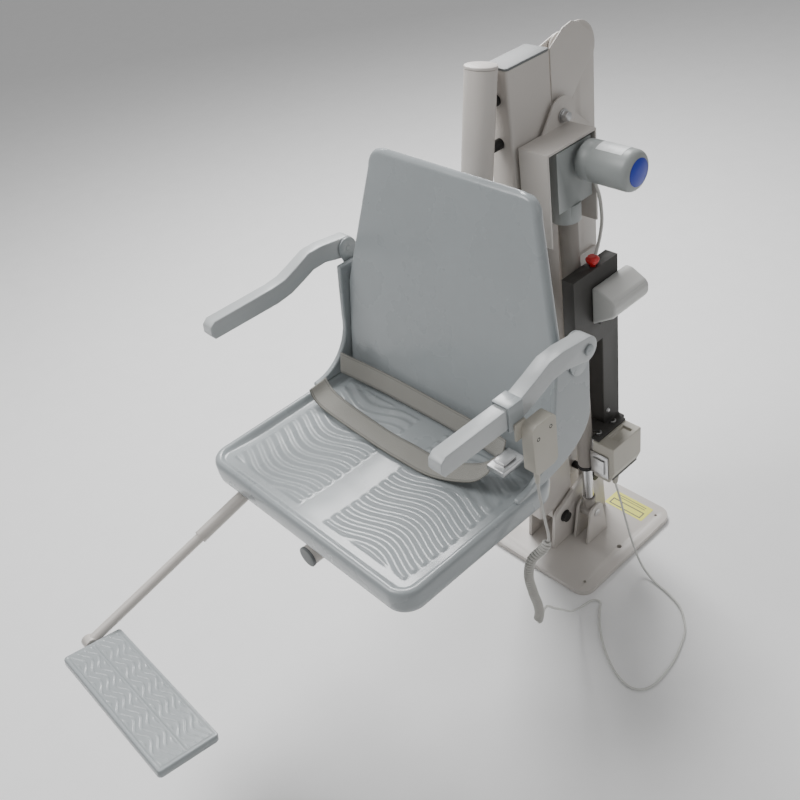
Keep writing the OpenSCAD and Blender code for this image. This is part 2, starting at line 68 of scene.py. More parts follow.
# ---- Handset cord -------------------------------------------------------------------------------
# Two-core control cable in a soft grey jacket, 5 mm across: a short straight lead from the handset,
# a tightly wound curly length, and a straight lead that loops over the deck and up to the dock.
def finish(name, colour, rough, mottle=0.04, patch=14.0, grain=700.0, bump=0.02, metal=0.0,
           clear=0.0):
    """A surface whose tone, gloss and fine relief vary a little from place to place."""
    m = bpy.data.materials.new(name)
    m.use_nodes = True
    tree = m.node_tree
    shader = tree.nodes["Principled BSDF"]
    shader.inputs["Metallic"].default_value = metal
    shader.inputs["Coat Weight"].default_value = clear
    shader.inputs["Coat Roughness"].default_value = 0.12
    place = tree.nodes.new("ShaderNodeTexCoord")
    cloud = tree.nodes.new("ShaderNodeTexNoise")
    cloud.inputs["Scale"].default_value = patch
    cloud.inputs["Detail"].default_value = 6.0
    tree.links.new(place.outputs["Object"], cloud.inputs["Vector"])
    tone = tree.nodes.new("ShaderNodeValToRGB")
    tone.color_ramp.elements[0].position = 0.3
    tone.color_ramp.elements[1].position = 0.7
    tone.color_ramp.elements[0].color = [c * (1 - mottle) for c in colour] + [1]
    tone.color_ramp.elements[1].color = [min(1, c * (1 + mottle)) for c in colour] + [1]
    tree.links.new(cloud.outputs["Fac"], tone.inputs["Fac"])
    tree.links.new(tone.outputs["Color"], shader.inputs["Base Color"])
    gloss = tree.nodes.new("ShaderNodeMapRange")
    gloss.inputs["To Min"].default_value = rough * 0.85
    gloss.inputs["To Max"].default_value = min(1, rough * 1.2)
    tree.links.new(cloud.outputs["Fac"], gloss.inputs["Value"])
    tree.links.new(gloss.outputs["Result"], shader.inputs["Roughness"])
    speck = tree.nodes.new("ShaderNodeTexNoise")
    speck.inputs["Scale"].default_value = grain
    speck.inputs["Detail"].default_value = 2.0
    tree.links.new(place.outputs["Object"], speck.inputs["Vector"])
    relief = tree.nodes.new("ShaderNodeBump")
    relief.inputs["Strength"].default_value = bump
    relief.inputs["Distance"].default_value = 0.001
    tree.links.new(speck.outputs["Fac"], relief.inputs["Height"])
    tree.links.new(relief.outputs["Normal"], shader.inputs["Normal"])
    return m


def through(points, steps):
    """A smooth line through given points, in metres."""
    p = [Vector(q) * MM for q in points]
    line = []
    for i in range(len(p) - 1):
        a, b, c, d = p[max(i - 1, 0)], p[i], p[i + 1], p[min(i + 2, len(p) - 1)]
        for j in range(steps):
            t = j / steps
            line.append(0.5 * (2 * b + (c - a) * t + (2 * a - 5 * b + 4 * c - d) * t**2
                               + (3 * b - a - 3 * c + d) * t**3))
    return line + [p[-1]]


def wire(name, line, radius, material):
    curve = bpy.data.curves.new(name, "CURVE")
    curve.dimensions = "3D"
    curve.bevel_depth = radius
    curve.bevel_resolution = 2
    curve.use_fill_caps = True
    spline = curve.splines.new("POLY")
    spline.points.add(len(line) - 1)
    for point, place in zip(spline.points, line):
        point.co = (*place, 1)
    spline.use_smooth = True
    curve.materials.append(material)
    obj = bpy.data.objects.new(name, curve)
    bpy.context.collection.objects.link(obj)
    return obj


jacket = finish("cord_jacket", (0.50, 0.49, 0.46), 0.55, bump=0.05)
pale_jacket = finish("cord_jacket_pale", (0.66, 0.66, 0.63), 0.5, bump=0.05)
upper_points = [(304, -410, 606), (304, -408, 580), (303, -402, 540), (304, -399, 510),
                (306, -397, 486), (306, -398, 472)]
coil_points = [(306, -398, 472), (300, -406, 456), (288, -420, 436), (283, -426, 400),
               (284, -421, 355), (286, -414, 318), (285, -411, 292), (282, -412, 273)]
lower_points = [(281, -411, 262), (274, -393, 262), (256, -362, 240), (236, -322, 182),
                (216, -276, 118), (199, -236, 62), (186, -206, 28), (178, -180, 6), (183, -150, 3),
                (198, -142, 3), (212, -162, 3), (240, -196, 3), (280, -232, 3), (330, -262, 3),
                (372, -268, 3), (396, -240, 3), (396, -180, 3), (384, -130, 3), (366, -88, 3),
                (330, -52, 3), (290, -36, 3), (250, -28, 4), (214, -20, 20), (184, -10, 56),
                (158, 0, 104), (138, 8, 146), (126, 12, 172), (122, 12, 184)]
cord_radius = 2.3 * MM
coil_radius = 6.1 * MM
turn_pitch = 5.2 * MM
run_in = 6 * MM
parts = 3
upper_line = through(upper_points, 4)
core = through(coil_points, 40)
coil_line = []
along = 0.0
side = (core[1] - core[0]).orthogonal().normalized()
for i, spot in enumerate(core):
    ahead_dir = (core[min(i + 1, len(core) - 1)] - core[max(i - 1, 0)]).normalized()
    side = (side - ahead_dir * side.dot(ahead_dir)).normalized()
    if i:
        step = (spot - core[i - 1]).length
    for part in range(parts if i else 1):
        share = (part + 1) / parts if i else 1
        here = core[i - 1].lerp(spot, share) if i else spot
        angle = 2 * math.pi * (along + (step * share if i else 0)) / turn_pitch
        swell = min(1, (along + MM) / run_in)
        out = side * math.cos(angle) + ahead_dir.cross(side) * math.sin(angle)
        coil_line.append(here + out * coil_radius * swell)
    along += step if i else 0
whole = upper_line[:-1] + coil_line
curly_cord = wire("handset_curly_cord", whole, cord_radius, jacket)
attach(curly_cord, "left_armrest")
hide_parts("handset_lead_upper", "handset_coil")
ferrule = wire("handset_cord_ferrule", core[-4:], 3.6 * MM, jacket)
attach(ferrule, "left_armrest")
lower_line = through(lower_points, 5)
deck_lead = wire("handset_deck_lead", lower_line, cord_radius, pale_jacket)
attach(deck_lead, "rear_arm")
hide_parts("handset_lead_lower")

# ---- Base plate and its welded uprights ---------------------------------------------------------
# A 12 mm steel plate with two cheeks and the actuator's clevis welded on, powder coated warm grey.
# Sawn edges are broken by about a millimetre before coating.
home = {n: b for b, names in frame["record"]["behaviour"]["bodies"].items() for n in names}


def paint(node, material):
    data = frame["nodes"][node].data
    data.materials.clear()
    data.materials.append(material)


def settle(obj, node, material):
    """Gives a finished piece its material and body, and hides the CAD node that it stands for."""
    obj.data.materials.clear()
    obj.data.materials.append(material)
    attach(obj, home[node])
    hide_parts(node)
    return obj


def baked(obj):
    """Turns an object's modifiers into plain mesh."""
    bpy.context.view_layer.update()
    graph = bpy.context.evaluated_depsgraph_get()
    mesh = bpy.data.meshes.new_from_object(obj.evaluated_get(graph), preserve_all_data_layers=True,
                                           depsgraph=graph)
    obj.modifiers.clear()
    obj.data = mesh
    return obj


def eased(obj, width, rings=2, angle=32):
    """Rounds an object's edges by a real radius and shades it smooth."""
    bevel = obj.modifiers.new("edge", "BEVEL")
    bevel.width = width
    bevel.segments = rings
    bevel.limit_method = "ANGLE"
    bevel.angle_limit = math.radians(angle)
    bevel.harden_normals = True
    bevel.use_clamp_overlap = True
    obj.data.shade_smooth()
    return baked(obj)


def shaped(name, bm, sharp=None):
    """Makes a linked object of a bmesh, shaded smooth up to the sharp angle, in degrees, if any."""
    mesh = bpy.data.meshes.new(name)
    bm.to_mesh(mesh)
    bm.free()
    if sharp is not None:
        mesh.shade_smooth()
        mesh.set_sharp_from_angle(angle=math.radians(sharp))
    obj = bpy.data.objects.new(name, mesh)
    bpy.context.collection.objects.link(obj)
    return obj


def from_cad(node, width, rings=2, angle=32):
    """A merged copy of a CAD node with its edges rounded."""
    bm = bmesh.new()
    bm.from_mesh(frame["nodes"][node].data)
    bmesh.ops.remove_doubles(bm, verts=bm.verts, dist=1e-6)
    bmesh.ops.dissolve_limit(bm, angle_limit=math.radians(1), verts=bm.verts, edges=bm.edges)
    return eased(shaped(node + "_worked", bm), width, rings, angle)


powder = finish("powder_coat_warm_grey", (0.585, 0.55, 0.515), 0.4, mottle=0.03, patch=6,
                grain=500, bump=0.06)
for node, edge in (("base_plate", 1.5), ("hub_cheeks", 1.0), ("rod_clevis", 1.0)):
    settle(from_cad(node, edge * MM), node, powder)

# ---- Deck label ---------------------------------------------------------------------------------
# A vinyl label stuck on the plate, plain yellow with a dark-edged panel and grey rules, no words.
label = bpy.data.materials.new("deck_label_vinyl")
label.use_nodes = True
tree = label.node_tree
lo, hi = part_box("floor_label")
place = tree.nodes.new("ShaderNodeTexCoord")
split = tree.nodes.new("ShaderNodeSeparateXYZ")
tree.links.new(place.outputs["Object"], split.inputs["Vector"])


def inside(tree, source, low, high):
    """One where a coordinate lies between two values."""
    test = tree.nodes.new("ShaderNodeMath")
    test.operation = "COMPARE"
    test.inputs[1].default_value = (low + high) / 2
    test.inputs[2].default_value = (high - low) / 2
    tree.links.new(source, test.inputs[0])
    return test.outputs[0]


def both(tree, a, b, operation="MULTIPLY"):
    node = tree.nodes.new("ShaderNodeMath")
    node.operation = operation
    tree.links.new(a, node.inputs[0])
    tree.links.new(b, node.inputs[1])
    return node.outputs[0]


x_out, y_out = split.outputs["X"], split.outputs["Y"]
outer_panel = both(tree, inside(tree, x_out, lo.x + 0.008, hi.x - 0.008),
                   inside(tree, y_out, lo.y + 0.005, lo.y + 0.024))
inner_panel = both(tree, inside(tree, x_out, lo.x + 0.011, hi.x - 0.011),
                   inside(tree, y_out, lo.y + 0.008, lo.y + 0.021))
frame_line = both(tree, outer_panel, inner_panel, "SUBTRACT")
rules = tree.nodes.new("ShaderNodeTexWave")
rules.bands_direction = "Y"
rules.inputs["Scale"].default_value = 55
tree.links.new(place.outputs["Object"], rules.inputs["Vector"])
rule_area = both(tree, inside(tree, x_out, lo.x + 0.012, hi.x - 0.014),
                 inside(tree, y_out, lo.y + 0.030, hi.y - 0.006))
step = tree.nodes.new("ShaderNodeMath")
step.operation = "GREATER_THAN"
step.inputs[1].default_value = 0.72
tree.links.new(rules.outputs["Fac"], step.inputs[0])
marks = both(tree, frame_line, both(tree, rule_area, step.outputs[0]), "MAXIMUM")
mix = tree.nodes.new("ShaderNodeMix")
mix.data_type = "RGBA"
mix.inputs["A"].default_value = (0.80, 0.78, 0.10, 1)
mix.inputs["B"].default_value = (0.10, 0.10, 0.06, 1)
tree.links.new(marks, mix.inputs["Factor"])
tree.links.new(mix.outputs["Result"], tree.nodes["Principled BSDF"].inputs["Base Color"])
tree.nodes["Principled BSDF"].inputs["Roughness"].default_value = 0.35
paint("floor_label", label)

# ---- Pivot bolts, bushes and clevis bolt --------------------------------------------------------
# Blackened M16 shoulder bolts in white acetal bushes, and zinc-plated bolts at the actuator.
black_steel = finish("blackened_steel", (0.035, 0.034, 0.033), 0.45, mottle=0.2, patch=60,
                     bump=0.08, metal=0.6)
bright_steel = finish("zinc_plated_steel", (0.55, 0.55, 0.55), 0.3, mottle=0.1, patch=80,
                      bump=0.03, metal=1.0)
acetal = finish("white_acetal", (0.75, 0.73, 0.68), 0.4)
for node in ("front_pivot_bolt", "rear_pivot_bolt"):
    settle(from_cad(node, 0.8 * MM), node, black_steel)
for node in ("clevis_bolt", "hanger_bolt", "upper_pivot_pins"):
    settle(from_cad(node, 0.5 * MM), node, bright_steel)
paint("pivot_bushes", acetal)

# ---- Arms and mast ------------------------------------------------------------------------------
# Folded channel arms, the channel column with its two pivot ears, and the round seat post bolted
# to the column's front. All are coated with the base; the column's cap is grey moulded plastic.
for node, edge in (("front_link", 1.5), ("rear_arm", 1.0), ("hanger_plate", 1.0),
                   ("mast_column", 0.8), ("mast_ears", 0.9), ("seat_post", 0.6),
                   ("post_cap", 1.6), ("post_strut", 2.0), ("rail_plate", 0.8)):
    settle(from_cad(node, edge * MM), node, powder)
cap_plastic = finish("cap_grey_plastic", (0.15, 0.158, 0.16), 0.5, grain=300, bump=0.12)
settle(from_cad("column_cap", 1.2 * MM), "column_cap", cap_plastic)
paint("post_bolts", black_steel)

# ---- Actuator bracket ---------------------------------------------------------------------------
# A folded sheet-steel box, open towards the motor, with a rounded ear for the hanger bolt.
settle(from_cad("actuator_bracket", 1.6 * MM, 3), "actuator_bracket", powder)

# ---- Gear housing and motor ---------------------------------------------------------------------
# Die-cast gearbox and a drawn motor case in satin grey paint, with a plain blue disc on the end
# and a white rating label without words.
motor_paint = finish("motor_grey_paint", (0.33, 0.35, 0.345), 0.38, mottle=0.05, patch=20,
                     bump=0.05)
settle(from_cad("gear_housing", 4 * MM, 3), "gear_housing", motor_paint)


def turned(name, profile, centre, steps=64):
    """A closed shape turned about an axis along X: profile is (x, radius) pairs in millimetres."""
    bm = bmesh.new()
    rings = []
    for x, r in profile:
        rings.append([bm.verts.new((x * MM, centre[0] + r * MM * math.cos(2 * math.pi * k / steps),
                                    centre[1] + r * MM * math.sin(2 * math.pi * k / steps)))
                      for k in range(steps)])
    for a, b in zip(rings, rings[1:]):
        for k in range(steps):
            bm.faces.new((a[k], a[(k + 1) % steps], b[(k + 1) % steps], b[k]))
    bm.faces.new(list(reversed(rings[0])))
    bm.faces.new(rings[-1])
    bmesh.ops.recalc_face_normals(bm, faces=bm.faces)
    return shaped(name, bm, 40)


motor_axis = (-0.018, 0.915)
shoulder_x, shoulder_radius, shoulder_round = 185, 22.2, 11.8
shoulder = [(shoulder_x + shoulder_round * math.sin(t),
             shoulder_radius + shoulder_round * math.cos(t)) for t in np.linspace(0, 1.45, 9)]
motor_profile = [(96.4, 31.5), (97.5, 33.2), (99, 34), (118, 34), (118.6, 33.5), (120.4, 33.5),
                 (121, 34)]
motor_profile += shoulder + [(197, 20)]
settle(turned("motor_shell", motor_profile, motor_axis), "motor_case", motor_paint)
disc_blue = finish("disc_blue_vinyl", (0.012, 0.035, 0.42), 0.3, mottle=0.06, bump=0.02)
settle(turned("motor_disc", [(196.9, 23), (197.6, 23), (197.9, 22.6), (197.9, 2)], motor_axis),
       "motor_end_disc", disc_blue)
copper = finish("rotor_copper", (0.6, 0.3, 0.14), 0.35, metal=1.0)
paint("motor_rotor", copper)
rating = bpy.data.meshes.new("motor_rating_label")
label_steps = 12
label_start, label_end = math.radians(62), math.radians(118)
label_x = (126, 176)
paper = 0.2 * MM
ring_radius = 34.25 * MM
verts, faces = [], []
for i in range(label_steps + 1):
    a = label_start + (label_end - label_start) * i / label_steps
    for x in label_x:
        for r in (ring_radius, ring_radius + paper):
            verts.append((x * MM, motor_axis[0] + r * math.cos(a), motor_axis[1] + r * math.sin(a)))
for i in range(label_steps):
    a, b = 4 * i, 4 * i + 4
    faces += [(a, a + 2, b + 2, b), (a + 1, b + 1, b + 3, a + 3), (a, b, b + 1, a + 1),
              (a + 2, a + 3, b + 3, b + 2)]
faces += [(0, 1, 3, 2), tuple(4 * label_steps + k for k in (0, 2, 3, 1))]
rating.from_pydata(verts, [], faces)
rating_label = bpy.data.objects.new("motor_rating_label", rating)
bpy.context.collection.objects.link(rating_label)
rating.materials.append(finish("rating_paper", (0.74, 0.76, 0.76), 0.4, mottle=0.1, patch=90))
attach(rating_label, "actuator")

# ---- Actuator tube, seal and rod ----------------------------------------------------------------
# A painted outer tube with a rubber wiper at its mouth, a ground steel rod and its painted end.
tube_paint = finish("actuator_tube_paint", (0.30, 0.275, 0.25), 0.42, mottle=0.05, bump=0.05)
settle(from_cad("rod_end", 0.8 * MM), "rod_end", tube_paint)
settle(from_cad("actuator_tube", 1.0 * MM), "actuator_tube", tube_paint)
paint("tube_seal", finish("wiper_rubber", (0.02, 0.02, 0.02), 0.7))
rod_steel = finish("ground_steel_rod", (0.62, 0.62, 0.62), 0.2, mottle=0.05, patch=40, metal=1.0)
paint("actuator_rod", rod_steel)
paint("motor_cable", jacket)

# ---- Mounting rail, its end blocks and screws ---------------------------------------------------
# A dark moulded rail on the arm's side; a row of plain tapered screw heads holds it.
dark_plastic = finish("dark_textured_plastic", (0.05, 0.048, 0.044), 0.55, mottle=0.08,
                      grain=260, bump=0.25)
settle(from_cad("mount_rail", 2.0 * MM, 2), "mount_rail", dark_plastic)
screw_group = bpy.data.node_groups.new("rail_screw_row", "GeometryNodeTree")
screw_group.interface.new_socket("Geometry", in_out="OUTPUT", socket_type="NodeSocketGeometry")
for socket, kind in (("Head radius", "NodeSocketFloat"), ("Head height", "NodeSocketFloat"),
                     ("First", "NodeSocketVector"), ("Spacing", "NodeSocketVector")):
    screw_group.interface.new_socket(socket, in_out="INPUT", socket_type=kind)
gi = screw_group.nodes.new("NodeGroupInput")
go = screw_group.nodes.new("NodeGroupOutput")
row = screw_group.nodes.new("GeometryNodeMeshLine")
row.inputs["Count"].default_value = 2
head = screw_group.nodes.new("GeometryNodeMeshCone")
head.inputs["Vertices"].default_value = 24
head.inputs["Side Segments"].default_value = 3
taper = screw_group.nodes.new("ShaderNodeMath")
taper.operation = "MULTIPLY"
taper.inputs[1].default_value = 0.72
each = screw_group.nodes.new("GeometryNodeInstanceOnPoints")
each.inputs["Rotation"].default_value = (0, math.pi / 2, 0)
real = screw_group.nodes.new("GeometryNodeRealizeInstances")
dress = screw_group.nodes.new("GeometryNodeSetMaterial")
dress.inputs["Material"].default_value = bright_steel
link = screw_group.links.new
link(gi.outputs["First"], row.inputs["Start Location"])
link(gi.outputs["Spacing"], row.inputs["Offset"])
link(gi.outputs["Head radius"], head.inputs["Radius Bottom"])
link(gi.outputs["Head radius"], taper.inputs[0])
link(taper.outputs[0], head.inputs["Radius Top"])
link(gi.outputs["Head height"], head.inputs["Depth"])
link(row.outputs["Mesh"], each.inputs["Points"])
link(head.outputs["Mesh"], each.inputs["Instance"])
link(each.outputs["Instances"], real.inputs["Geometry"])
link(real.outputs["Geometry"], dress.inputs["Geometry"])
link(dress.outputs["Geometry"], go.inputs["Geometry"])
screws = bpy.data.objects.new("rail_screw_heads", bpy.data.meshes.new("rail_screw_heads"))
bpy.context.collection.objects.link(screws)
screw_lo, screw_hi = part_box("rail_screws")
tree_on = screws.modifiers.new("row", "NODES")
tree_on.node_group = screw_group
middle_y = (screw_lo.y + screw_hi.y) / 2
head_radius = 5 * MM
values = {"Head radius": head_radius, "Head height": 3 * MM,
          "First": (screw_lo.x, middle_y, screw_lo.z + head_radius),
          "Spacing": (0, 0, screw_hi.z - screw_lo.z - 2 * head_radius)}
for item in screw_group.interface.items_tree:
    if item.in_out == "INPUT":
        tree_on[item.identifier] = values[item.name]
settle(baked(screws), "rail_screws", bright_steel)


# ---- Control box --------------------------------------------------------------------------------
# A dark housing on the rail with a pale wedge-shaped cover, a board inside and a red stop button.
def prism(name, outline, low, high, axis="Y"):
    """A closed solid from an outline in millimetres, drawn along one axis from low to high."""
    def at(p, d):
        spots = {"X": (d, p[0], p[1]), "Y": (p[0], d, p[1]), "Z": (p[0], p[1], d)}
        return Vector(spots[axis]) * MM

    bm = bmesh.new()
    near = [bm.verts.new(at(p, low)) for p in outline]
    far = [bm.verts.new(at(p, high)) for p in outline]
    n = len(outline)
    bm.faces.new(near)
    bm.faces.new(list(reversed(far)))
    for i in range(n):
        bm.faces.new((near[i], far[i], far[(i + 1) % n], near[(i + 1) % n]))
    bmesh.ops.recalc_face_normals(bm, faces=bm.faces)
    return shaped(name, bm)


settle(from_cad("control_housing", 1.6 * MM, 2), "control_housing", dark_plastic)
light_plastic = finish("cover_light_plastic", (0.56, 0.56, 0.54), 0.4, grain=300, bump=0.08)
cover_outline = [(112.8, 606), (112.8, 684), (128, 684), (158, 669), (164, 660), (164, 643),
                 (157, 634)]
cover_front, cover_back = -38, 62
cover = prism("control_cover_shell", cover_outline, cover_front, cover_back)
settle(eased(cover, 6 * MM, 4, 20), "control_cover", light_plastic)
paint("circuit_board", finish("board_green", (0.03, 0.14, 0.06), 0.4))
stop_red = finish("stop_button_red", (0.62, 0.012, 0.014), 0.28, mottle=0.05, clear=0.3)
settle(from_cad("stop_button", 1.0 * MM, 3), "stop_button", stop_red)

# ---- Battery dock -------------------------------------------------------------------------------
# A beige moulded case under a dark top plate, held by two catches and a steel latch plate in front;
# a hand recess in its top and a slanting underside where the handset lead comes out.
beige = finish("case_beige_plastic", (0.47, 0.445, 0.385), 0.48, grain=280, bump=0.1)
dock_side = [(88, 206), (88, 302), (140, 302), (140, 236), (128, 206)]
dock_front, dock_back = -16, 76
dock = prism("dock_shell", dock_side, dock_front, dock_back)
recess = prism("dock_recess", [(108, 296), (108, 310), (130, 310), (130, 296)], 12, 58)
cut = dock.modifiers.new("recess", "BOOLEAN")
cut.object = recess
cut.solver = "EXACT"
baked(dock)
bpy.data.objects.remove(recess)
settle(eased(dock, 3.5 * MM, 3, 20), "dock_case", beige)
settle(from_cad("dock_top", 0.8 * MM), "dock_top", dark_plastic)
settle(from_cad("cord_socket", 0.8 * MM), "cord_socket", beige)
settle(from_cad("dock_latches", 0.8 * MM), "dock_latches", bright_steel)
paint("battery_pack", dark_plastic)

# ---- Seat pan -----------------------------------------------------------------------------------
# Rotationally moulded polyethylene, 520 by 350 mm, with a raised rim, a shallow floor, two fields
# of wavy ridges that drain it, and a deep skirt stiffened by ribs underneath.
moulding = finish("seat_blue_grey_moulding", (0.335, 0.362, 0.372), 0.27, mottle=0.03, patch=9,
                  grain=240, bump=0.03, clear=0.25)


def corner_distance(x, y, half_w, half_d, r):
    """Distance inside a rounded rectangle's edge, negative outside."""
    qx, qy = abs(x) - half_w + r, abs(y) - half_d + r
    return r - math.hypot(max(qx, 0), max(qy, 0)) - min(max(qx, qy), 0)


def into_corner(u, v, half_w, half_d, r):
    """Carries a square grid onto a rounded rectangle, moving only what is near the corners."""
    x, y = u * half_w, v * half_d
    reach = max(abs(u), abs(v))
    if reach < 1e-9:
        return x, y
    low, high = 0.5, 1.0 / reach
    for _ in range(24):
        mid = (low + high) / 2
        if corner_distance(x * mid, y * mid, half_w, half_d, r) > 0:
            low = mid
        else:
            high = mid
    scale = 1 + (low * reach - 1) * reach**10
    return x * scale, y * scale


def waves(x, y, pitch, swing, wander):
    """Height, 0 to 1, of rounded ridges that wander from side to side as they run."""
    shifted = y + swing * math.sin(2 * math.pi * x / wander)
    return 0.5 + 0.5 * math.cos(2 * math.pi * shifted / pitch)


def ease(t):
    t = min(1, max(0, t))
    return t * t * (3 - 2 * t)


seat_lo, seat_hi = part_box("seat_pan")
half_w = (seat_hi.x - seat_lo.x) / 2 / MM
half_d = (seat_hi.y - seat_lo.y) / 2 / MM
seat_mid_y = (seat_lo.y + seat_hi.y) / 2 / MM
seat_top = seat_hi.z / MM
corner = 38
nose = 9
front_depth = 5
back_depth = 8
rim_width = 11
smooth_band = 32
field_inset = 34
soft_step = 5
ridge_height, ridge_pitch, ridge_swing, ridge_wander = 2.4, 21, 13, 190
columns, rows = 200, 150


def seat_height(x, y):
    d = corner_distance(x, y, half_w, half_d, corner)
    edge = nose - math.sqrt(max(0, nose**2 - (nose - min(d, nose)) ** 2))
    floor = (front_depth + back_depth * ease((y + half_d) / 120)) * ease((d - rim_width) / 9)
    field = ease((d - field_inset) / soft_step) * ease((abs(x) - smooth_band) / soft_step)
    ripple = ridge_height * field * waves(x, y, ridge_pitch, ridge_swing, ridge_wander)
    return seat_top - edge - floor + ripple


bm = bmesh.new()
grid = []
for j in range(rows + 1):
    line = []
    for i in range(columns + 1):
        x, y = into_corner(2 * i / columns - 1, 2 * j / rows - 1, half_w, half_d, corner)
        line.append(bm.verts.new((x * MM, (y + seat_mid_y) * MM, seat_height(x, y) * MM)))
    grid.append(line)
for j in range(rows):
    for i in range(columns):
        bm.faces.new((grid[j][i], grid[j][i + 1], grid[j + 1][i + 1], grid[j + 1][i]))
rim = ([grid[0][i] for i in range(columns)] + [grid[j][columns] for j in range(rows)]
       + [grid[rows][i] for i in range(columns, 0, -1)] + [grid[j][0] for j in range(rows, 0, -1)])
skirt = [(0, 18), (0.4, 30), (1.6, 41), (4.4, 45), (7.5, 45), (9.5, 42), (10, 20)]
last = rim
for inset, drop in skirt:
    ring = []
    for v in rim:
        x, y = v.co.x / MM, v.co.y / MM - seat_mid_y
        ring.append(bm.verts.new((x * (1 - inset / half_w) * MM,
                                  (y * (1 - inset / half_d) + seat_mid_y) * MM,
                                  (seat_top - drop) * MM)))
    for k in range(len(rim)):
        n = (k + 1) % len(rim)
        bm.faces.new((last[n], last[k], ring[k], ring[n]))
    last = ring
bm.faces.new(last)
bmesh.ops.recalc_face_normals(bm, faces=bm.faces)
settle(shaped("seat_pan_moulding", bm, 60), "seat_pan", moulding)
rib_count, rib_pitch, rib_half, rib_low, rib_top, rib_inset = 7, 70, 1.6, 486, 510.4, 12
for k in range(rib_count):
    x = -210 + rib_pitch * k
    rib = prism(f"seat_rib_{k}", [(x - rib_half, rib_low), (x + rib_half, rib_low),
                                  (x + rib_half, rib_top), (x - rib_half, rib_top)],
                seat_mid_y - half_d + rib_inset, seat_mid_y + half_d - rib_inset)
    rib.data.materials.append(moulding)
    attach(rib, "seat_mast")


# ---- Backrest -----------------------------------------------------------------------------------
# One moulded shell, 20 mm thick at its rolled edge, narrower at the top, with two side wings that
# run down to the seat and carry the armrest brackets.
lean = math.radians(10.8)
back_height, back_r = 442, 34
back_foot_y, back_foot_z = -305, 530
back_thick = 20
edge_roll = 9
dish_depth = 3.0
low_half, top_half, taper_start = 250, 188, 180


def back_half(s):
    t = min(1, max(0, (s - taper_start) / (back_height - back_r - taper_start)))
    return low_half + (top_half - low_half) * t


def back_point(x, s, out):
    y = back_foot_y + s * math.sin(lean) - out * math.cos(lean)
    z = back_foot_z + s * math.cos(lean) + out * math.sin(lean)
    return Vector((x, y, z)) * MM


def make_back():
    n_x, n_s = 96, 84
    bm = bmesh.new()
    front, rear = [], []
    for j in range(n_s + 1):
        s = 1 + (back_height - 1) * j / n_s
        half = back_half(s)
        over = s - (back_height - back_r)
        if over > 0:
            half -= back_r - math.sqrt(max(0, back_r**2 - over**2))
        line_f, line_r = [], []
        for i in range(n_x + 1):
            u = math.sin(math.pi / 2 * (2 * i / n_x - 1))
            x = u * half
            top_gap = back_height - s
            d = min(half - abs(x), top_gap if over <= 0 or abs(x) < half - back_r else
                    back_r - math.hypot(max(0, abs(x) - (back_half(s) - back_r)), over))
            d = max(0, d)
            roll = math.sqrt(max(0, 1 - (1 - min(d, edge_roll) / edge_roll) ** 2))
            belly = math.sin(math.pi * min(1, max(0, s / back_height)))
            dish = -dish_depth * (1 - (x / half) ** 2) * belly if half else 0
            border = i in (0, n_x) or j == n_s
            mid = back_thick / 2
            swell = 0 if border else mid * roll + dish * roll
            f = bm.verts.new(back_point(x, s, mid + swell))
            line_f.append(f)
            line_r.append(f if border else
                          bm.verts.new(back_point(x, s, mid - mid * roll + dish * roll)))
        front.append(line_f)
        rear.append(line_r)
    for j in range(n_s):
        for i in range(n_x):
            bm.faces.new((front[j][i], front[j][i + 1], front[j + 1][i + 1], front[j + 1][i]))
            quad = (rear[j][i + 1], rear[j][i], rear[j + 1][i], rear[j + 1][i + 1])
            if len(set(quad)) >= 3:
                bm.faces.new(quad)
    bm.faces.new([*reversed(front[0]), *rear[0][1:-1]])
    bmesh.ops.remove_doubles(bm, verts=bm.verts, dist=1e-6)
    bmesh.ops.recalc_face_normals(bm, faces=bm.faces)
    return shaped("backrest_shell", bm, 55)


def arc(cy, cz, ry, rz, a0, a1, n):
    return [(cy + ry * math.cos(math.radians(a0 + (a1 - a0) * i / n)),
             cz + rz * math.sin(math.radians(a0 + (a1 - a0) * i / n))) for i in range(n + 1)]


settle(make_back(), "backrest", moulding)
wing_outline = (arc(-363, 610, 135, 79, -90, 0, 14) + [(-226, 742), (-303, 742), (-309, 696)]
                + arc(-411, 640, 95, 101, 0, -90, 12) + [(-411, 531)])
wing_thick = 12
for tag, low in (("left", 248), ("right", -260)):
    wing = prism(f"backrest_wing_{tag}", wing_outline, low, low + wing_thick, "X")
    eased(wing, 4.5 * MM, 4, 50)
    wing.data.materials.append(moulding)
    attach(wing, "seat_mast")

# ---- Armrests and their brackets ----------------------------------------------------------------
# Moulded bars with well rounded edges that flip up about a pin at the back.
arm_moulding = finish("armrest_light_moulding", (0.50, 0.52, 0.525), 0.32, mottle=0.03, patch=9,
                      grain=240, bump=0.1)
for node in ("armrest_left", "armrest_right"):
    settle(from_cad(node, 7 * MM, 4, 40), node, arm_moulding)
settle(from_cad("armrest_brackets", 0.9 * MM), "armrest_brackets", moulding)

# ---- Under-seat tube and frame ------------------------------------------------------------------
# A coated round tube under the seat with two cross pads, closed by a grey plastic cap.
settle(from_cad("seat_tube", 0.8 * MM), "seat_tube", powder)
settle(from_cad("seat_tube_cap", 1.5 * MM, 3), "seat_tube_cap", cap_plastic)


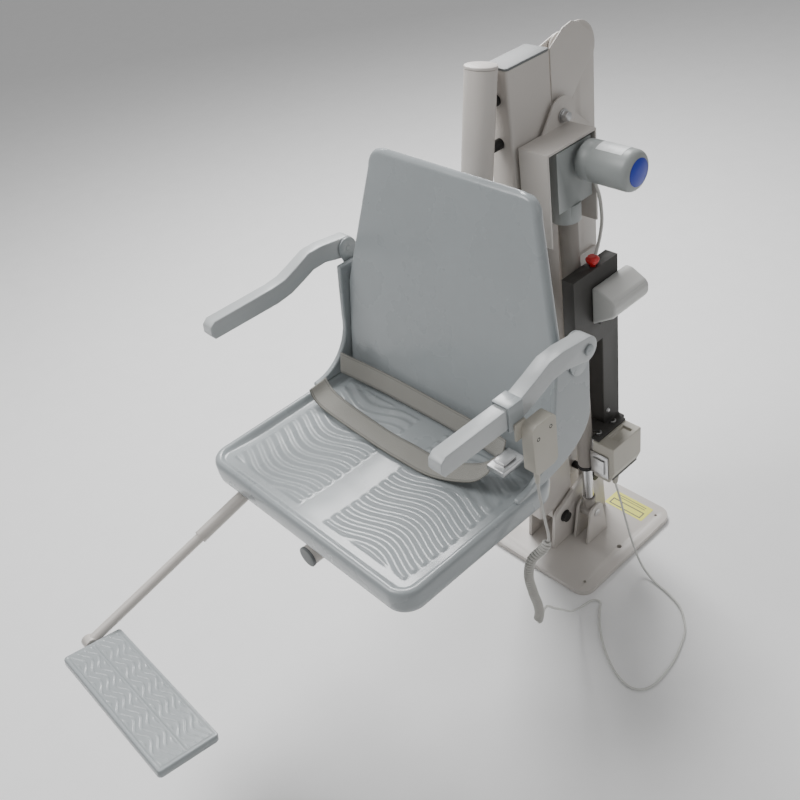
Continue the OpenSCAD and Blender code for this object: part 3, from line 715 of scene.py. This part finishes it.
# ---- Lap belt -----------------------------------------------------------------------------------
# Two lengths of 45 mm woven polyester webbing, grey beige with darker selvedges, from the back's
# slots to a steel buckle; each strap sags a little and twists to lie flat.
def webbing():
    m = bpy.data.materials.new("belt_webbing")
    m.use_nodes = True
    tree = m.node_tree
    shader = tree.nodes["Principled BSDF"]
    shader.inputs["Roughness"].default_value = 0.8
    shader.inputs["Sheen Weight"].default_value = 0.3
    uv = tree.nodes.new("ShaderNodeUVMap")
    uv.uv_map = "weave"
    split = tree.nodes.new("ShaderNodeSeparateXYZ")
    tree.links.new(uv.outputs["UV"], split.inputs["Vector"])
    twill = tree.nodes.new("ShaderNodeTexWave")
    twill.bands_direction = "DIAGONAL"
    twill.inputs["Scale"].default_value = 90
    cross = tree.nodes.new("ShaderNodeTexWave")
    cross.bands_direction = "X"
    cross.inputs["Scale"].default_value = 70
    for node in (twill, cross):
        tree.links.new(uv.outputs["UV"], node.inputs["Vector"])
    height = both(tree, twill.outputs["Fac"], cross.outputs["Fac"], "ADD")
    relief = tree.nodes.new("ShaderNodeBump")
    relief.inputs["Strength"].default_value = 0.5
    relief.inputs["Distance"].default_value = 0.0006
    tree.links.new(height, relief.inputs["Height"])
    tree.links.new(relief.outputs["Normal"], shader.inputs["Normal"])
    ramp = tree.nodes.new("ShaderNodeValToRGB")
    ramp.color_ramp.elements[0].color = (0.12, 0.115, 0.10, 1)
    ramp.color_ramp.elements[1].position = 0.06
    ramp.color_ramp.elements[1].color = (0.36, 0.35, 0.31, 1)
    for at, tint in ((0.10, 0.20), (0.14, 0.35), (0.86, 0.35), (0.90, 0.20), (0.94, 0.35),
                     (1.0, 0.115)):
        e = ramp.color_ramp.elements.new(at)
        e.color = (tint, tint * 0.97, tint * 0.87, 1)
    tree.links.new(split.outputs["Y"], ramp.inputs["Fac"])
    tree.links.new(ramp.outputs["Color"], shader.inputs["Base Color"])
    return m


def belt(name, points, widths, thick):
    """A flat strap through given points; widths is the half-width vector at each point."""
    centre = through(points, 14)
    half = through(widths, 14)
    bm = bmesh.new()
    uv = bm.loops.layers.uv.new("weave")
    across = 8
    rings = []
    run = 0.0
    spots = {}
    for i, c in enumerate(centre):
        if i:
            run += (c - centre[i - 1]).length
        forward = (centre[min(i + 1, len(centre) - 1)] - centre[max(i - 1, 0)]).normalized()
        w = half[i]
        up = w.cross(forward).normalized()
        ring = []
        for side, sign in ((1, 1), (-1, -1)):
            for k in range(across + 1):
                t = (2 * k / across - 1) * side
                lift = thick / 2 * sign * (1 if abs(t) < 0.99 else 0.35)
                v = bm.verts.new(c + w * t + up * lift)
                spots[v] = (run, (t + 1) / 2)
                ring.append(v)
        rings.append(ring)
    for a, b in zip(rings, rings[1:]):
        for k in range(len(a)):
            bm.faces.new((a[k], a[(k + 1) % len(a)], b[(k + 1) % len(a)], b[k]))
    bm.faces.new(rings[0])
    bm.faces.new(rings[-1])
    bmesh.ops.recalc_face_normals(bm, faces=bm.faces)
    for face in bm.faces:
        for loop in face.loops:
            loop[uv].uv = spots[loop.vert]
    obj = shaped(name, bm)
    obj.data.shade_smooth()
    return obj


belt_cloth = webbing()
strap_thick = 1.8 * MM
front_strap = belt("belt_front_strap",
                   [(-236, -416, 550), (-200, -420, 527), (-60, -428, 524), (15, -428, 524),
                    (90, -424, 525), (165, -408, 546), (197, -396, 574)],
                   [(0, 21, 2), (2, 22, 1), (2, 22, -1), (0, 22, 1), (-4, 21, 2), (-6, 21, 3),
                    (-6, 21, 4)], strap_thick)
rear_strap = belt("belt_rear_strap",
                  [(-240, -352, 560), (-120, -336, 548), (60, -336, 548), (150, -350, 562),
                   (195, -368, 582)],
                  [(0, 5, 21), (0, 6, 20), (0, 5, 20), (2, 6, 20), (2, 6, 19)], strap_thick)
settle(front_strap, "belt_straps", belt_cloth)
rear_strap.data.materials.append(belt_cloth)
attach(rear_strap, "seat_mast")
settle(from_cad("belt_buckle", 1.5 * MM, 3), "belt_buckle", bright_steel)

# ---- Footrest -----------------------------------------------------------------------------------
# A two-part round arm on a folding bracket, and a moulded plate with two fields of wavy grooves.
settle(from_cad("footrest_bracket", 0.8 * MM), "footrest_bracket", powder)
settle(from_cad("footrest_arm", 0.8 * MM), "footrest_arm", powder)
foot_x, foot_y, foot_z = -200, -621, 459
slope = math.radians(12.6)
reach = 380
plate_tilt = math.radians(11)
plate_w, plate_d, plate_t = 306, 104, 14
arm_side = 9.6
plate_mid = Vector((foot_x + arm_side + plate_w / 2, foot_y - reach * math.cos(slope),
                    foot_z - reach * math.sin(slope)))


def make_plate():
    n_x, n_y = 300, 124
    hw, hd, r = plate_w / 2, plate_d / 2, 6
    nose_r, cut_half = 3, 0.9
    wave_depth, line_depth = 1.1, 0.9
    bm = bmesh.new()
    tilt = Matrix.Rotation(-plate_tilt, 4, "X")

    def put(x, y, z):
        return bm.verts.new((plate_mid + (tilt @ Vector((x, y, z)))) * MM)

    grid = []
    for j in range(n_y + 1):
        line = []
        for i in range(n_x + 1):
            x, y = into_corner(2 * i / n_x - 1, 2 * j / n_y - 1, hw, hd, r)
            d = corner_distance(x, y, hw, hd, r)
            nose = nose_r - math.sqrt(max(0, nose_r**2 - (nose_r - min(d, nose_r)) ** 2))
            field = ease((d - 9) / 2) * ease((abs(y) - 3.5) / 2)
            line_cut = waves(x, y, 11.5, 5.5, 52) ** 7
            border_cut = math.exp(-((d - 6.5) / cut_half) ** 2)
            middle_cut = math.exp(-((y / cut_half) ** 2)) * ease((d - 8) / 2)
            groove = wave_depth * field * line_cut + line_depth * max(border_cut, middle_cut)
            line.append(put(x, y, plate_t / 2 - nose - groove))
        grid.append(line)
    for j in range(n_y):
        for i in range(n_x):
            bm.faces.new((grid[j][i], grid[j][i + 1], grid[j + 1][i + 1], grid[j + 1][i]))
    rim = ([(grid[0][i], 2 * i / n_x - 1, -1) for i in range(n_x)]
           + [(grid[j][n_x], 1, 2 * j / n_y - 1) for j in range(n_y)]
           + [(grid[n_y][i], 2 * i / n_x - 1, 1) for i in range(n_x, 0, -1)]
           + [(grid[j][0], -1, 2 * j / n_y - 1) for j in range(n_y, 0, -1)])
    last = [v for v, _, _ in rim]
    for inset, z in ((0, -5), (1.5, -8), (4, -8), (5, 2)):
        ring = []
        for _, u, v in rim:
            x, y = into_corner(u, v, hw, hd, r)
            ring.append(put(x * (1 - inset / hw), y * (1 - inset / hd), z))
        for k in range(len(rim)):
            n = (k + 1) % len(rim)
            bm.faces.new((last[n], last[k], ring[k], ring[n]))
        last = ring
    bm.faces.new(last)
    bmesh.ops.recalc_face_normals(bm, faces=bm.faces)
    return shaped("footrest_plate_moulding", bm, 50)


settle(make_plate(), "footrest_plate", moulding)
hinge_pin = turned("footrest_plate_pin",
                   [(foot_x - 12, 4.4), (foot_x - 11.2, 5), (foot_x + 9.4, 5)],
                   (plate_mid.y * MM, plate_mid.z * MM), 32)
hinge_pin.data.materials.append(bright_steel)
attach(hinge_pin, "foot_plate")

# ---- Handset and its clip -----------------------------------------------------------------------
# A two-key handset in a rounded beige case, hung on a moulded clip round the left armrest.
settle(from_cad("handset_case", 5 * MM, 4, 40), "handset_case", beige)
for k, (y, z) in enumerate(((-391, 713), (-418, 706))):
    screw = turned(f"handset_case_screw_{k}",
                   [(319.2, 3.4), (320.15, 3.4), (320.15, 2.2), (319.7, 1.4)],
                   (y * MM, z * MM), 24)
    screw.data.materials.append(black_steel)
    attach(screw, "left_armrest")
settle(from_cad("handset_clip", 1.2 * MM), "handset_clip", moulding)
key_rubber = finish("key_rubber", (0.05, 0.06, 0.075), 0.6)
settle(from_cad("handset_keys", 0.7 * MM), "handset_keys", key_rubber)

# ---- Floor and lights ---------------------------------------------------------------------------
# A pale seamless floor, a large soft light behind the seat that brings out its ridges, a weaker one
# in front and a faint one at the side.
bpy.ops.mesh.primitive_plane_add(size=14, location=(0, 0, -0.0005))
floor = bpy.context.object
floor.name = "studio_floor"
floor.data.materials.append(finish("studio_floor", (0.93, 0.93, 0.93), 0.8, mottle=0.01, bump=0.0))
world = bpy.data.worlds.new("studio")
world.use_nodes = True
world.node_tree.nodes["Background"].inputs["Color"].default_value = (1, 1, 1, 1)
world.node_tree.nodes["Background"].inputs["Strength"].default_value = 0.36
bpy.context.scene.world = world
aim = Vector((0, -0.3, 0.55))
for name, spot, size, power in (("key", (-0.9, -1.5, 2.7), 1.1, 36),
                                ("side", (2.3, 0.6, 1.9), 1.3, 6),
                                ("behind", (-1.25, 0.85, 2.35), 1.1, 85)):
    lamp = bpy.data.lights.new(name, "AREA")
    lamp.size = size
    lamp.energy = power
    obj = bpy.data.objects.new(name, lamp)
    obj.location = spot
    obj.rotation_euler = (aim - obj.location).to_track_quat("-Z", "Y").to_euler()
    bpy.context.collection.objects.link(obj)
